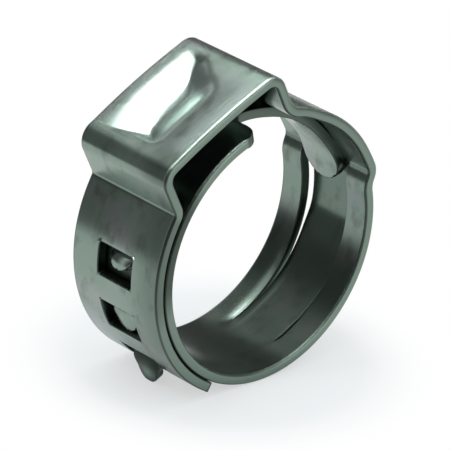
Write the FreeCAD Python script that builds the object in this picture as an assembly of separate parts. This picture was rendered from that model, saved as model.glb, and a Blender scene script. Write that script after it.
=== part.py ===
import FreeCAD, Part
import math
import os

# Stepless ear clamp: one stamped stainless strip, rolled into a ring and hooked onto itself.
# The strip is described in ring coordinates first: the ring's axis is Z, the ear's top faces +Y,
# and angles run anticlockwise from +X. At the end the ring is stood up as it rests.
# Sizes are in millimetres, angles in degrees.

# Strip
bore_diameter = 14.5
strip_width = 7.0
strip_thickness = 0.6
edge_crown = 0.12
layer_gap = 0.05

# Ear
ear_width = 9.35
ear_rise = 1.65
ear_crown = 0.25
ear_corner_radius = 0.5
channel_side_foot_radius = 1.2
hook_side_foot_radius = 0.3
dimple_length = 6.5
dimple_width = 4.1
dimple_depth = 0.8
dimple_offset = 0.4
dimple_rim_radius = 0.3

# Inner end: shoulder and tongue under the ear
shoulder_angle = 74.5
shoulder_corner_radius = 1.0
shoulder_root_radius = 0.6
tongue_width = 2.4
tongue_head_width = 2.75
tongue_head_length = 3.0
tongue_tip_angle = -15.3

# Channel: two rails on the bore, centre strip lanced outward
step_top_angle = 357.5
step_foot_angle = 346.0
channel_end_angle = 262.0
channel_ramp_angle = 60.0
channel_width = 3.55
lance_gap = 0.05

# Windows in the outer layer, hooks and guide tab on the inner layer
free_end_angle = 213.2
window_count = 3
first_window_angle = 151.7
window_pitch = 3.492
window_length = 1.85
window_width = 2.7
window_corner_radius = 0.15
hook_width = 1.7
hook_rise = 0.45
hook_ramp = 0.85
hook_seat_gap = 0.05
hook_lag = 0.6
guide_tab_width = 2.1
guide_tab_tip_width = 1.5
guide_tab_taper_length = 1.3
guide_tab_direction = 262.0
guide_tab_reach = 0.7
guide_tab_gap = 0.05
guide_tab_root_margin = 0.35

half_width = strip_width / 2
half_thickness = strip_thickness / 2
bore_radius = bore_diameter / 2
inner_layer_mid = bore_radius + half_thickness
inner_layer_outside = bore_radius + strip_thickness
outer_layer_mid = inner_layer_outside + layer_gap + half_thickness
outer_layer_outside = outer_layer_mid + half_thickness
through = 2 * strip_thickness
axis = FreeCAD.Vector(0, 0, 1)


def polar(radius, angle):
    turn = math.radians(angle)
    return FreeCAD.Vector(radius * math.cos(turn), radius * math.sin(turn), 0)


def angle_of(point):
    return math.degrees(math.atan2(point.y, point.x))


def arc_degrees(length, radius):
    return math.degrees(length / radius)


# A run is one stretch of the strip's mid-line. Outward is the right-hand side of the travel.
def arc_run(centre, radius, start, end):
    return ("arc", centre, radius, start, end)


def line_run(start, end):
    return ("line", start, end)


def arc_from(point, heading, target):
    # The arc that leaves point along heading and passes through target.
    left = polar(1, heading + 90)
    chord = target - point
    signed_radius = chord.dot(chord) / (2 * left.dot(chord))
    centre = point + left * signed_radius
    start = angle_of(point - centre)
    end = angle_of(target - centre)
    if signed_radius > 0:
        end += 360 * math.ceil((start - end) / 360)
    else:
        end -= 360 * math.ceil((end - start) / 360)
    return arc_run(centre, abs(signed_radius), start, end)


def double_bend(start, start_heading, end, end_heading):
    # Two tangent arcs that join two headings, as a joggle in the strip does.
    first = polar(1, start_heading)
    last = polar(1, end_heading)
    span = end - start
    both = first + last
    spread = 2 * (1 - first.dot(last))
    along = span.dot(both)
    if spread > 1e-9:
        reach = (math.sqrt(along ** 2 + spread * span.dot(span)) - along) / spread
    else:
        reach = span.dot(span) / (2 * along)
    middle = (start + first * reach + end - last * reach) * 0.5
    opening = arc_from(start, start_heading, middle)
    closing = arc_from(end, end_heading + 180, middle)
    return [opening, arc_run(closing[1], closing[2], closing[4], closing[3])]


def section_face(place, low, high, low_crown, high_crown):
    # The strip's cross-section between two heights. A rolled edge is crowned, a sheared one square.
    def side_edge(enter, leave, height, crown):
        if crown == 0:
            return Part.makeLine(enter, leave)
        return Part.Arc(enter, place(0, height), leave).toShape()

    low_inside = place(-half_thickness, low + low_crown)
    low_outside = place(half_thickness, low + low_crown)
    high_outside = place(half_thickness, high - high_crown)
    high_inside = place(-half_thickness, high - high_crown)
    edges = [side_edge(low_inside, low_outside, low, low_crown),
             Part.makeLine(low_outside, high_outside),
             side_edge(high_outside, high_inside, high, high_crown),
             Part.makeLine(high_inside, low_inside)]
    return Part.Face(Part.Wire(edges))


def run_solid(run, low, high, low_crown=0.0, high_crown=0.0):
    if run[0] == "line":
        start, end = run[1], run[2]
        travel = end - start
        outward = polar(1, angle_of(travel) - 90)
        face = section_face(lambda side, height: start + outward * side + axis * height,
                            low, high, low_crown, high_crown)
        return face.extrude(travel)
    centre, radius, start_angle, end_angle = run[1:]
    sense = 1 if end_angle > start_angle else -1
    spoke = polar(1, start_angle)
    face = section_face(lambda side, height: centre + spoke * (radius + sense * side) + axis * height,
                        low, high, low_crown, high_crown)
    return face.revolve(centre, axis * sense, abs(end_angle - start_angle))


def strip(runs, low, high, low_crown=0.0, high_crown=0.0):
    return [run_solid(run, low, high, low_crown, high_crown) for run in runs]


def full_strip(runs):
    return strip(runs, -half_width, half_width, edge_crown, edge_crown)


def plan_prism(outline, origin, along, outward, depth_in, depth_out):
    # A closed outline drawn in the strip's plan (along, height) and swept through its thickness.
    def place(distance, height):
        return origin + along * distance + axis * height - outward * depth_in

    edges = []
    for piece in outline:
        points = [place(*point) for point in piece]
        if len(points) == 2:
            edges.append(Part.makeLine(points[0], points[1]))
        else:
            edges.append(Part.Arc(*points).toShape())
    return Part.Face(Part.Wire(edges)).extrude(outward * (depth_in + depth_out))


def rounded_box_outline(length, width, radius):
    # Rectangle centred on the origin, its corners rounded.
    far, side = length / 2, width / 2
    bulge = radius * (1 - math.sqrt(0.5))
    pieces = []
    turns = [(1, -1), (1, 1), (-1, 1), (-1, -1)]
    for index, (to_end, to_side) in enumerate(turns):
        enter = (to_end * far, to_side * (side - radius))
        leave = (to_end * (far - radius), to_side * side)
        if index % 2 == 0:
            enter, leave = leave, enter
        pieces.append((enter, (to_end * (far - bulge), to_side * (side - bulge)), leave))
    outline = []
    for piece, following in zip(pieces, pieces[1:] + pieces[:1]):
        outline.append(piece)
        outline.append((piece[2], following[0]))
    return outline


def bullet_outline(length, width):
    # A tab's plan: square at the back, half round at the tip, which lies at distance zero.
    side = width / 2
    return [((-length, -side), (-side, -side)),
            ((-side, -side), (0, 0), (-side, side)),
            ((-side, side), (-length, side)),
            ((-length, side), (-length, -side))]


def tapered_outline(length, width, tip_width, taper_length):
    # The guide tab's plan: parallel at the back, tapered, with a half-round tip at distance zero.
    side, tip = width / 2, tip_width / 2
    return [((-length, -side), (-taper_length, -side)),
            ((-taper_length, -side), (-tip, -tip)),
            ((-tip, -tip), (0, 0), (-tip, tip)),
            ((-tip, tip), (-taper_length, side)),
            ((-taper_length, side), (-length, side)),
            ((-length, side), (-length, -side))]


def fillet_outline(radius):
    # The corner of a square that a quarter circle leaves, at the origin.
    bulge = radius * (1 - math.sqrt(0.5))
    return [((0, 0), (radius, 0)),
            ((radius, 0), (bulge, bulge), (0, radius)),
            ((0, radius), (0, 0))]


def mirrored(outline, along=1, height=1):
    return [tuple((along * point[0], height * point[1]) for point in piece) for piece in outline]


def shifted(outline, along, height):
    return [tuple((point[0] + along, point[1] + height) for point in piece) for piece in outline]


def radial_prism(outline, angle, radius, depth_in, depth_out):
    return plan_prism(outline, polar(radius, angle), polar(1, angle + 90), polar(1, angle),
                      depth_in, depth_out)


def ear_runs():
    # Outer layer from the step, up the ear, down its other leg and on to the free end.
    leg = ear_width / 2 - half_thickness
    corner = ear_corner_radius + half_thickness
    top = outer_layer_outside + ear_rise
    crown_radius = ((ear_width / 2) ** 2 + ear_crown ** 2) / (2 * ear_crown)
    crown_centre = FreeCAD.Vector(0, top - crown_radius, 0)
    crown_mid = crown_radius - half_thickness
    corner_height = crown_centre.y + math.sqrt((crown_mid - corner) ** 2 - (leg - corner) ** 2)
    right_corner = FreeCAD.Vector(leg - corner, corner_height, 0)
    left_corner = FreeCAD.Vector(corner - leg, corner_height, 0)
    crown_start = angle_of(right_corner - crown_centre)

    def foot(bend_radius, side):
        bend = bend_radius + half_thickness
        across = leg + bend
        height = math.sqrt((outer_layer_mid + bend) ** 2 - across ** 2)
        return bend, FreeCAD.Vector(side * across, height, 0)

    right_bend, right_foot = foot(channel_side_foot_radius, 1)
    left_bend, left_foot = foot(hook_side_foot_radius, -1)
    origin = FreeCAD.Vector(0, 0, 0)
    return [
        arc_run(origin, outer_layer_mid, step_top_angle - 360, angle_of(right_foot)),
        arc_run(right_foot, right_bend, angle_of(right_foot) + 180, 180),
        line_run(FreeCAD.Vector(leg, right_foot.y, 0), FreeCAD.Vector(leg, corner_height, 0)),
        arc_run(right_corner, corner, 0, crown_start),
        arc_run(crown_centre, crown_mid, crown_start, 180 - crown_start),
        arc_run(left_corner, corner, 180 - crown_start, 180),
        line_run(FreeCAD.Vector(-leg, corner_height, 0), FreeCAD.Vector(-leg, left_foot.y, 0)),
        arc_run(left_foot, left_bend, 360, angle_of(left_foot) + 180),
        arc_run(origin, outer_layer_mid, angle_of(left_foot), free_end_angle),
    ]


def ring_run(radius, start, end):
    return arc_run(FreeCAD.Vector(0, 0, 0), radius, start, end)


def channel():
    # Rails stay on the bore and step up beside the tongue; the centre strip runs outside it.
    channel_side = channel_width / 2
    step = double_bend(polar(inner_layer_mid, step_foot_angle), step_foot_angle + 90,
                       polar(outer_layer_mid, step_top_angle), step_top_angle + 90)
    rail_runs = [ring_run(inner_layer_mid, channel_end_angle, step_foot_angle)] + step
    ramp_end_angle = channel_end_angle + channel_ramp_angle
    ramp = double_bend(polar(inner_layer_mid, channel_end_angle), channel_end_angle + 90,
                       polar(outer_layer_mid, ramp_end_angle), ramp_end_angle + 90)
    centre_runs = ramp + [ring_run(outer_layer_mid, ramp_end_angle, step_top_angle)]
    centre_side = channel_side - lance_gap
    return (strip(rail_runs, channel_side, half_width, 0, edge_crown)
            + strip(rail_runs, -half_width, -channel_side, edge_crown, 0)
            + strip(centre_runs, -centre_side, centre_side))


def tongue():
    # Narrow spoon-ended tongue that slides in the channel and bridges the gap under the ear.
    neck_side = tongue_width / 2
    head_side = tongue_head_width / 2
    head_span = arc_degrees(tongue_head_length, inner_layer_mid)
    neck_start = tongue_tip_angle + head_span
    neck = run_solid(ring_run(inner_layer_mid, neck_start, shoulder_angle), -neck_side, neck_side)
    blank = run_solid(ring_run(inner_layer_mid, tongue_tip_angle, neck_start), -head_side, head_side)
    middle = tongue_tip_angle + head_span / 2
    half_head = inner_layer_mid * math.sin(math.radians(head_span / 2))
    tip = -half_head
    widest = tip + head_side
    outline = [((widest, -head_side), (tip, 0), (widest, head_side)),
               ((widest, head_side), (half_head, neck_side)),
               ((half_head, neck_side), (half_head + through, neck_side)),
               ((half_head + through, neck_side), (half_head + through, -neck_side)),
               ((half_head + through, -neck_side), (half_head, -neck_side)),
               ((half_head, -neck_side), (widest, -head_side))]
    head = blank.common(radial_prism(outline, middle, inner_layer_mid, through, through))
    return [neck, head]


def shoulder_cuts_and_fills():
    # Rounded shoulder corners, and rounded roots where the tongue leaves the full width.
    cuts = []
    fills = []
    blank_span = arc_degrees(shoulder_root_radius + strip_thickness, inner_layer_mid)
    blank = run_solid(ring_run(inner_layer_mid, shoulder_angle - blank_span, shoulder_angle),
                      -half_width, half_width)
    for side in (1, -1):
        corner = shifted(mirrored(fillet_outline(shoulder_corner_radius), 1, -side), 0, side * half_width)
        cuts.append(radial_prism(corner, shoulder_angle, inner_layer_mid, through, through))
        root = shifted(mirrored(fillet_outline(shoulder_root_radius), -1, side), 0,
                       side * tongue_width / 2)
        prism = radial_prism(root, shoulder_angle, inner_layer_mid, through, through)
        fills.append(blank.common(prism))
    return cuts, fills


def window_angle(index):
    return first_window_angle + index * arc_degrees(window_pitch, outer_layer_mid)


window_half_angle = arc_degrees(window_length / 2, outer_layer_mid)


def window_cutters():
    # Each window goes through the outer layer only.
    outline = rounded_box_outline(window_length, window_width, window_corner_radius)
    kept = Part.makeCylinder(inner_layer_outside + layer_gap / 2, strip_width,
                             axis * -half_width, axis)
    return [radial_prism(outline, window_angle(index), outer_layer_mid, strip_thickness,
                         strip_thickness).cut(kept)
            for index in range(window_count)]


def hook_span(index):
    # Root and rim angles of a hook; the last one seats on its window's edge, the first lags.
    lag = hook_lag * (window_count - 2 - index)
    gap = arc_degrees(hook_seat_gap + lag, outer_layer_mid)
    rim = window_angle(index) + window_half_angle - gap
    root = window_angle(index) - window_half_angle + arc_degrees(layer_gap, inner_layer_mid)
    return root, rim


def hook(index):
    # A half-round lip sheared from the inner layer and pressed outward into its window.
    root, rim = hook_span(index)
    crest_radius = inner_layer_mid + hook_rise
    crest = root + arc_degrees(hook_ramp, crest_radius)
    runs = double_bend(polar(inner_layer_mid, root), root + 90, polar(crest_radius, crest), crest + 90)
    runs.append(ring_run(crest_radius, crest, rim))
    side = hook_width / 2
    blank = strip(runs, -side, side)
    lip = blank[0].multiFuse(blank[1:])
    length = window_length + through
    prism = radial_prism(bullet_outline(length, hook_width), rim, crest_radius, through, through)
    return lip.common(prism)


def lanced_opening(root, end, width):
    # What a lip or tab leaves behind in the inner layer, from its root to its round end.
    side = width / 2 + lance_gap
    inside = bore_radius - lance_gap
    outside = inner_layer_outside + lance_gap
    spoke = polar(1, root)
    corners = [spoke * inside - axis * side, spoke * outside - axis * side,
               spoke * outside + axis * side, spoke * inside + axis * side]
    face = Part.Face(Part.makePolygon(corners + corners[:1]))
    sector = face.revolve(FreeCAD.Vector(0, 0, 0), axis, end - root)
    return sector.common(radial_prism(bullet_outline(strip_width, 2 * side), end, inner_layer_mid,
                                      2 * through, through))


def hook_opening(index):
    root, rim = hook_span(index)
    return lanced_opening(root, rim + arc_degrees(hook_seat_gap, inner_layer_mid), hook_width)


def guide_tab_frame():
    # The tab's last straight lies just clear of the web between its window and the free end.
    window_end = window_angle(window_count - 1) + window_half_angle
    along = polar(1, guide_tab_direction)
    outward = polar(1, guide_tab_direction - 90)
    web_corner = polar(outer_layer_outside, window_end)
    start = web_corner + outward * (half_thickness + guide_tab_gap)
    return along, outward, start, start + along * guide_tab_reach


def guide_tab_root():
    margin = arc_degrees(guide_tab_root_margin, inner_layer_mid)
    return window_angle(window_count - 1) - window_half_angle + margin


def guide_tab():
    along, outward, start, tip = guide_tab_frame()
    root = guide_tab_root()
    bend_end = start - along * guide_tab_root_margin
    runs = double_bend(polar(inner_layer_mid, root), root + 90, bend_end, guide_tab_direction)
    runs.append(line_run(bend_end, tip))
    side = guide_tab_width / 2
    blank = strip(runs, -side, side)
    tab = blank[0].multiFuse(blank[1:])
    outline = tapered_outline(strip_width, guide_tab_width, guide_tab_tip_width,
                              guide_tab_taper_length)
    return tab.common(plan_prism(outline, tip, along, outward, 2 * through, 2 * through))


def guide_tab_opening():
    # As long as the tab was when it lay flat.
    along, outward, start, tip = guide_tab_frame()
    root = guide_tab_root()
    flat_length = (tip - polar(inner_layer_mid, root)).Length + lance_gap
    return lanced_opening(root, root + arc_degrees(flat_length, inner_layer_mid), guide_tab_width)


def capsule(radius, half_straight, height):
    # A round bar along X with ball ends; its underside presses the dimple off the middle.
    reach = FreeCAD.Vector(half_straight, 0, 0)
    centre = FreeCAD.Vector(0, height, -dimple_offset)
    bar = Part.makeCylinder(radius, 2 * half_straight, centre - reach, FreeCAD.Vector(1, 0, 0))
    return bar.multiFuse([Part.makeSphere(radius, centre - reach), Part.makeSphere(radius, centre + reach)])


def press_dimple(band):
    top = outer_layer_outside + ear_rise
    press_radius = ((dimple_width / 2) ** 2 + dimple_depth ** 2) / (2 * dimple_depth)
    half_straight = (dimple_length - dimple_width) / 2
    height = top - dimple_depth + press_radius
    under = capsule(press_radius + strip_thickness, half_straight, height)
    slab_low = top - dimple_depth - 2 * strip_thickness
    slab = Part.makeBox(ear_width, top - half_thickness - ear_crown - slab_low, strip_width,
                        FreeCAD.Vector(-ear_width / 2, slab_low, -half_width))
    pressed = band.fuse(under.common(slab)).cut(capsule(press_radius, half_straight, height))
    reach = (dimple_offset + dimple_width / 2 + half_width) / 2
    rim = []
    for edge in pressed.Edges:
        box = edge.BoundBox
        on_top = box.YMin > top - half_thickness - ear_crown / 2
        inside = max(abs(box.ZMin), abs(box.ZMax)) < reach
        if on_top and inside and edge.Length > strip_thickness:
            rim.append(edge)
    return pressed.makeFillet(dimple_rim_radius, rim)


def rest_angle():
    # The ring stands on its own underside and on the guide tab's tip or the free end's corner.
    along, outward, start, tip = guide_tab_frame()
    props = [tip + outward * half_thickness, polar(outer_layer_outside, free_end_angle)]
    downs = []
    for point in props:
        around = angle_of(point) % 360
        downs.append(around + math.degrees(math.acos(inner_layer_outside / point.Length)))
    return max(downs)


def clamp_band():
    pieces = full_strip([ring_run(inner_layer_mid, shoulder_angle, channel_end_angle)])
    pieces += full_strip(ear_runs())
    pieces += channel()
    pieces += tongue()
    corner_cuts, root_fills = shoulder_cuts_and_fills()
    band = pieces[0].multiFuse(pieces[1:] + root_fills)
    hooks = range(window_count - 1)
    openings = [hook_opening(index) for index in hooks] + [guide_tab_opening()]
    band = band.cut(corner_cuts + window_cutters() + openings)
    band = band.multiFuse([hook(index) for index in hooks] + [guide_tab()])
    band = band.removeSplitter()
    return press_dimple(band)


def stood_up(shape):
    # The near side of the ring faces -Y and the floor lies under it.
    upright = shape.copy()
    upright.rotate(FreeCAD.Vector(0, 0, 0), axis, 270 - rest_angle())
    upright.rotate(FreeCAD.Vector(0, 0, 0), FreeCAD.Vector(1, 0, 0), 90)
    return upright


os.makedirs("parts", exist_ok=True)
clamp = stood_up(clamp_band())
clamp.exportStep("parts/clamp_band.step")
print("clamp_band", len(clamp.Solids), "solid", round(clamp.Volume, 3), "mm3")
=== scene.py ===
import math

import bpy
import numpy as np
from mathutils import Matrix, Vector


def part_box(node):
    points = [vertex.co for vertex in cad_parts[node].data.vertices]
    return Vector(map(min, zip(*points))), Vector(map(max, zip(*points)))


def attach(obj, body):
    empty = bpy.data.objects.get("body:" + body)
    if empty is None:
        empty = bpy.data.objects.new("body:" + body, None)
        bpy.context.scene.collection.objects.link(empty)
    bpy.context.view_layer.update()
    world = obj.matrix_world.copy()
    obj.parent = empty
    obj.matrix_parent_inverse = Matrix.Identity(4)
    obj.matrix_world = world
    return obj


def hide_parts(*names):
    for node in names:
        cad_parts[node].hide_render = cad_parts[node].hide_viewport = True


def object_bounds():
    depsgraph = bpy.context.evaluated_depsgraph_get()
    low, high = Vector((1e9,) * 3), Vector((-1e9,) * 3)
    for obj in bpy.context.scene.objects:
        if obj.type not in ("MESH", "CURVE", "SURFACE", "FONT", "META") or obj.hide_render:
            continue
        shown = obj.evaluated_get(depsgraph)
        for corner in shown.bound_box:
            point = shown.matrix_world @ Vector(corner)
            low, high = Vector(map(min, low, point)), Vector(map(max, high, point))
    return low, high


# Stepless ear clamp: one stamped stainless strip, rolled into a ring and hooked onto itself.
# The strip is laid out flat on a grid, folded along its path and then thickened.
# Shape values are in millimetres and degrees: the ring's axis is z, the ear's top faces +y.

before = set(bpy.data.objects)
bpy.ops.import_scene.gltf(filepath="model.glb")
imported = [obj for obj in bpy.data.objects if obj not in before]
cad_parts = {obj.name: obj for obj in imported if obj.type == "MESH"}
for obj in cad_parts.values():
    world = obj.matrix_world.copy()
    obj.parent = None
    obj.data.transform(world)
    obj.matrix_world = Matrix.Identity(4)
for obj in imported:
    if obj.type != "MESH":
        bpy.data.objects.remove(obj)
cadLow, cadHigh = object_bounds()
bandLow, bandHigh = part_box("clamp_band")
mm = 0.001
nearlyZero = 1e-9
print("frame loaded, clamp stands on", round(bandLow.z / mm, 3), "mm")


# Path of the mid-line, in the ring's plane as complex numbers
def spoke(radius, degrees):
    return radius * np.exp(1j * np.radians(degrees))


def angleOf(point):
    return math.degrees(math.atan2(point.imag, point.real))


def dot(one, other):
    return (one * other.conjugate()).real


def arcRun(centre, radius, start, end):
    return ("arc", centre, radius, start, end)


def lineRun(start, end):
    return ("line", start, end)


def arcFrom(point, heading, target):  # the arc that leaves point along heading and meets target
    left = spoke(1, heading + 90)
    chord = target - point
    radius = abs(chord) ** 2 / (2 * dot(chord, left))
    centre = point + left * radius
    start, end = angleOf(point - centre), angleOf(target - centre)
    if radius > 0:
        end += 360 * math.ceil((start - end) / 360)
    else:
        end -= 360 * math.ceil((end - start) / 360)
    return arcRun(centre, abs(radius), start, end)


def doubleBend(start, startHeading, end, endHeading):  # two tangent arcs, as a joggle has
    first, last = spoke(1, startHeading), spoke(1, endHeading)
    span = end - start
    slack = 2 * (1 - dot(first, last))
    reachAlong = dot(span, first + last)
    if slack > nearlyZero:  # the two headings differ
        reach = (math.sqrt(reachAlong ** 2 + slack * abs(span) ** 2) - reachAlong) / slack
    else:
        reach = abs(span) ** 2 / (2 * reachAlong)
    middle = (start + first * reach + end - last * reach) / 2
    closing = arcFrom(end, endHeading + 180, middle)
    return [arcFrom(start, startHeading, middle), arcRun(closing[1], closing[2], closing[4], closing[3])]


def runLength(run):
    if run[0] == "line":
        return abs(run[2] - run[1])
    return run[2] * math.radians(abs(run[4] - run[3]))


def runStarts(runs):  # distance at which each run begins, and the total
    return np.concatenate([[0.0], np.cumsum([runLength(run) for run in runs])])


def foldAt(runs, along):
    # Point and outward normal at each distance along. On an arc the angle grows evenly with
    # the distance, on a line the point slides straight; outward is to the right of the travel.
    starts = runStarts(runs)
    index = np.clip(np.searchsorted(starts, along, side="right") - 1, 0, len(runs) - 1)
    point = np.zeros(along.shape, complex)
    outward = np.zeros(along.shape, complex)
    for number, run in enumerate(runs):
        here = index == number
        travelled = along[here] - starts[number]
        if run[0] == "line":
            heading = (run[2] - run[1]) / abs(run[2] - run[1])
            point[here] = run[1] + heading * travelled
            outward[here] = -1j * heading
        else:
            sense = 1 if run[4] > run[3] else -1
            turned = spoke(1, run[3] + sense * np.degrees(travelled / run[2]))
            point[here] = run[1] + run[2] * turned
            outward[here] = sense * turned
    return point, outward


band = {
    "bore": 14.5,
    "thickness": 0.6,
    "layerGap": 0.05,
    "rolledEdge": 0.14,       # corner rounding of the strip's long edges
    "shearedEdge": 0.06,      # corner rounding where a punch cut through
    "edgeCrown": 0.05,        # how far a long edge bulges between its roundings
    "punchedCrown": 0.2,      # a punched edge bulges by this share of that
    "edgeMargin": 0.24,       # width of the cells along the edge
    "rowsOutside": 13,
    "rowsInside": 22,
    "step": 0.22,             # longest cell along the strip
    "bendStep": 0.09,         # the same round a tight bend
    "tightBend": 3.0,         # bends of a smaller radius are tight
    "lipStep": 0.1,
    "roundingSteps": 6,
    "faceWearShade": 0.2,          # wear and painted shade where a face meets its rounded edge, on the edge, on the rounding
    "edgeWearShade": 0.5,
    "roundingWearShade": 1.0,
    "edgeTolerance": 1e-3,
    "weldDecimals": 5,
}
halfWidth = (bandHigh.y - bandLow.y) / mm / 2
halfThickness = band["thickness"] / 2
innerMid = band["bore"] / 2 + halfThickness
innerOutside = innerMid + halfThickness
outerMid = innerOutside + band["layerGap"] + halfThickness
outerOutside = outerMid + halfThickness

ear = {
    "width": 9.35,
    "rise": 1.65,             # above the outer layer's outside
    "crown": 0.25,            # how far its top bulges
    "corner": 0.5,            # inside radii of the bends
    "channelFoot": 1.2,
    "hookFoot": 0.3,
}

dimple = {                    # each wall: where it leaves the floor, and how wide it is
    "depth": 0.9,
    "right": (1.2, 1.5),
    "left": (-2.45, 0.75),
    "near": (-0.50, 1.85),
    "far": (-1.36, 1.10),
    "farSkew": 0.85,          # the far wall's foot slants towards the left of this place
    "skewFrom": -0.9,
    "flare": (0.65, 0.35),    # right and left walls spread by this share of the way below flareFrom
    "flareFrom": -0.1,
    "flareSoftness": 0.3,
    "skewSoftness": 0.5,
    "footSoftness": 0.12,     # where the near foot gives way to the slanted far one
    "nearSoftness": 0.10,     # of the near foot, then of the far foot, the ends and the rim
    "farSoftness": 0.30,
    "endSoftness": 0.38,
    "rimSoftness": 0.19,
    "dishDepth": 0.06,        # shallow dish round the near rim
    "dishWidth": 1.4,
    "dishOver": (-3.6, -1.8, 1.6, 3.6),
    "fade": 0.5,              # length over which the pressing dies out before the crown's bends
    "step": 0.11,
}

tongue = {                    # inner end of the strip, with a spoon-shaped head
    "tipAngle": -15.3,
    "halfHead": 1.375,
    "headLength": 3.6,
    "halfNeck": 1.2,
    "shoulderAngle": 74.5,
    "shoulderCorner": 1.0,    # rounding at the strip's edge, then at the neck
    "shoulderRoot": 0.6,
}

channel = {
    "endAngle": 262.0,
    "rampAngle": 60.0,        # the centre strip climbs over this angle
    "footAngle": 346.0,       # the rails' step climbs from here to topAngle
    "topAngle": 357.5,
    "halfWidth": 1.75,
    "slitGap": 0.060,         # each side of a slit, closing over slitTaper at its ends
    "slitTaper": 0.4,
}

windows = {
    "count": 3,
    "firstAngle": 151.7,
    "pitch": 3.492,
    "length": 1.85,
    "halfWidth": 1.35,
    "corner": 0.15,
    "freeEndAngle": 213.2,
}

lips = {
    "hookHalfWidth": 0.85,
    "hookRise": 0.45,         # a hook climbs this far over the length of hookRamp
    "hookRamp": 0.85,
    "hookSeat": 0.05,         # gap to the window's far end, plus hookLag at the first window
    "hookLag": 0.6,
    "hookDome": 0.22,
    "openingGap": 0.05,       # a lip's hole is wider by this a side, from openingTaper past its root
    "openingTaper": 0.15,
    "tabHalfWidth": 1.05,
    "tabTipHalfWidth": 0.75,
    "tabTaper": 1.3,
    "tabDirection": 262.0,    # heading of its free part
    "tabReach": 0.7,          # past the outer face at the window's end
    "tabDome": 0.12,
    "tabGap": 0.05,           # to the window's end
    "tabRoot": 0.35,          # from the window's start to its root, and from its bend to the outer face
}

spring = {                    # how far the open clamp's layers stray outward from the round
    "squeeze": -0.15,         # outer layer beside the tongue
    "squeezeOver": (-16.0, 6.0, 38.0, 52.0),    # ring angles: starts, is whole, fades, is gone
    "tongueSqueeze": -0.13,
    "tongueSqueezeOver": (-5.0, 20.0, 50.0, 72.0),
    "endLift": -0.035,        # the free end
    "endLiftFrom": 183.0,
    "endLiftPast": 1.0,       # it would be whole this far past the end
    "channelLift": 0.12,      # centre strip above its arc near the step, and below it on the ramp
    "channelLiftOver": (-50.0, -28.0, -14.0, -5.0),
    "channelSag": 0.14,
    "channelSagOver": (-82.0, -56.0, -44.0, -32.0),
    "slitDrag": 0.13,         # metal dragged outward beside the far slit's lower end
    "slitDragOver": (-106.0, -95.0, -66.0, -50.0),
    "slitDragWidth": 0.40,
    "slitDragFrom": 240.0,    # the rails take part past this angle
}


def earRuns():  # outer layer from the step, over the ear and on to the free end
    leg = ear["width"] / 2 - halfThickness
    corner = ear["corner"] + halfThickness
    top = outerOutside + ear["rise"]
    crownRadius = ((ear["width"] / 2) ** 2 + ear["crown"] ** 2) / (2 * ear["crown"])
    crownCentre = 1j * (top - crownRadius)
    crownMid = crownRadius - halfThickness
    cornerHeight = crownCentre.imag + math.sqrt((crownMid - corner) ** 2 - (leg - corner) ** 2)
    rightCorner = complex(leg - corner, cornerHeight)
    leftCorner = complex(corner - leg, cornerHeight)
    crownStart = angleOf(rightCorner - crownCentre)

    def foot(inside, side):
        bend = inside + halfThickness
        height = math.sqrt((outerMid + bend) ** 2 - (leg + bend) ** 2)
        return bend, complex(side * (leg + bend), height)

    rightBend, rightFoot = foot(ear["channelFoot"], 1)
    leftBend, leftFoot = foot(ear["hookFoot"], -1)
    return [
        arcRun(0j, outerMid, channel["topAngle"] - 360, angleOf(rightFoot)),
        arcRun(rightFoot, rightBend, angleOf(rightFoot) + 180, 180),
        lineRun(complex(leg, rightFoot.imag), complex(leg, cornerHeight)),
        arcRun(rightCorner, corner, 0, crownStart),
        arcRun(crownCentre, crownMid, crownStart, 180 - crownStart),
        arcRun(leftCorner, corner, 180 - crownStart, 180),
        lineRun(complex(-leg, cornerHeight), complex(-leg, leftFoot.imag)),
        arcRun(leftFoot, leftBend, 360, angleOf(leftFoot) + 180),
        arcRun(0j, outerMid, angleOf(leftFoot), windows["freeEndAngle"]),
    ]


# Runs of the main path: inner layer, two bends of the rails' step, outer layer, right foot and leg,
# right corner, crown, left corner, left leg and foot, outer layer
railStep = doubleBend(spoke(innerMid, channel["footAngle"]), channel["footAngle"] + 90,
                      spoke(outerMid, channel["topAngle"]), channel["topAngle"] + 90)
mainRuns = [arcRun(0j, innerMid, tongue["tipAngle"], channel["footAngle"])] + railStep + earRuns()
mainStarts = runStarts(mainRuns)
stepStart, stepMiddle, outerStart, rightFootStart, rightLegStart = mainStarts[1:6]
crownStart, crownEnd = mainStarts[7:9]
leftFootStart, lastStart, stripEnd = mainStarts[10:]
leftFootAngle = mainRuns[-1][3]


def onInner(degrees):  # distance along the strip of an angle on the inner layer
    return innerMid * np.radians(degrees - tongue["tipAngle"])


def onOuter(degrees):  # the same on the outer layer past the ear
    return lastStart + outerMid * np.radians(degrees - leftFootAngle)


def arcDegrees(length, radius):
    return math.degrees(length / radius)


# Layout of the flat strip: where the middle rows end (split) and where the edge lies
quarter = np.radians(np.linspace(0, 90, 7))
nearlyRound = np.radians(np.linspace(0, 82, 6))  # a half-round end stops before its width is nothing


def halfRoundEnd(end, half):  # half width of a half-round end that finishes at a distance
    return end - half + half * np.sin(nearlyRound), half * np.cos(nearlyRound)


windowHalf = arcDegrees(windows["length"] / 2, outerMid)


def windowAngle(index):
    return windows["firstAngle"] + index * arcDegrees(windows["pitch"], outerMid)


def hookAngles(index):  # root and rim of a hook
    lag = lips["hookLag"] * (windows["count"] - 2 - index)
    rim = windowAngle(index) + windowHalf - arcDegrees(lips["hookSeat"] + lag, outerMid)
    root = windowAngle(index) - windowHalf + arcDegrees(band["layerGap"], innerMid)
    return root, rim


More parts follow.
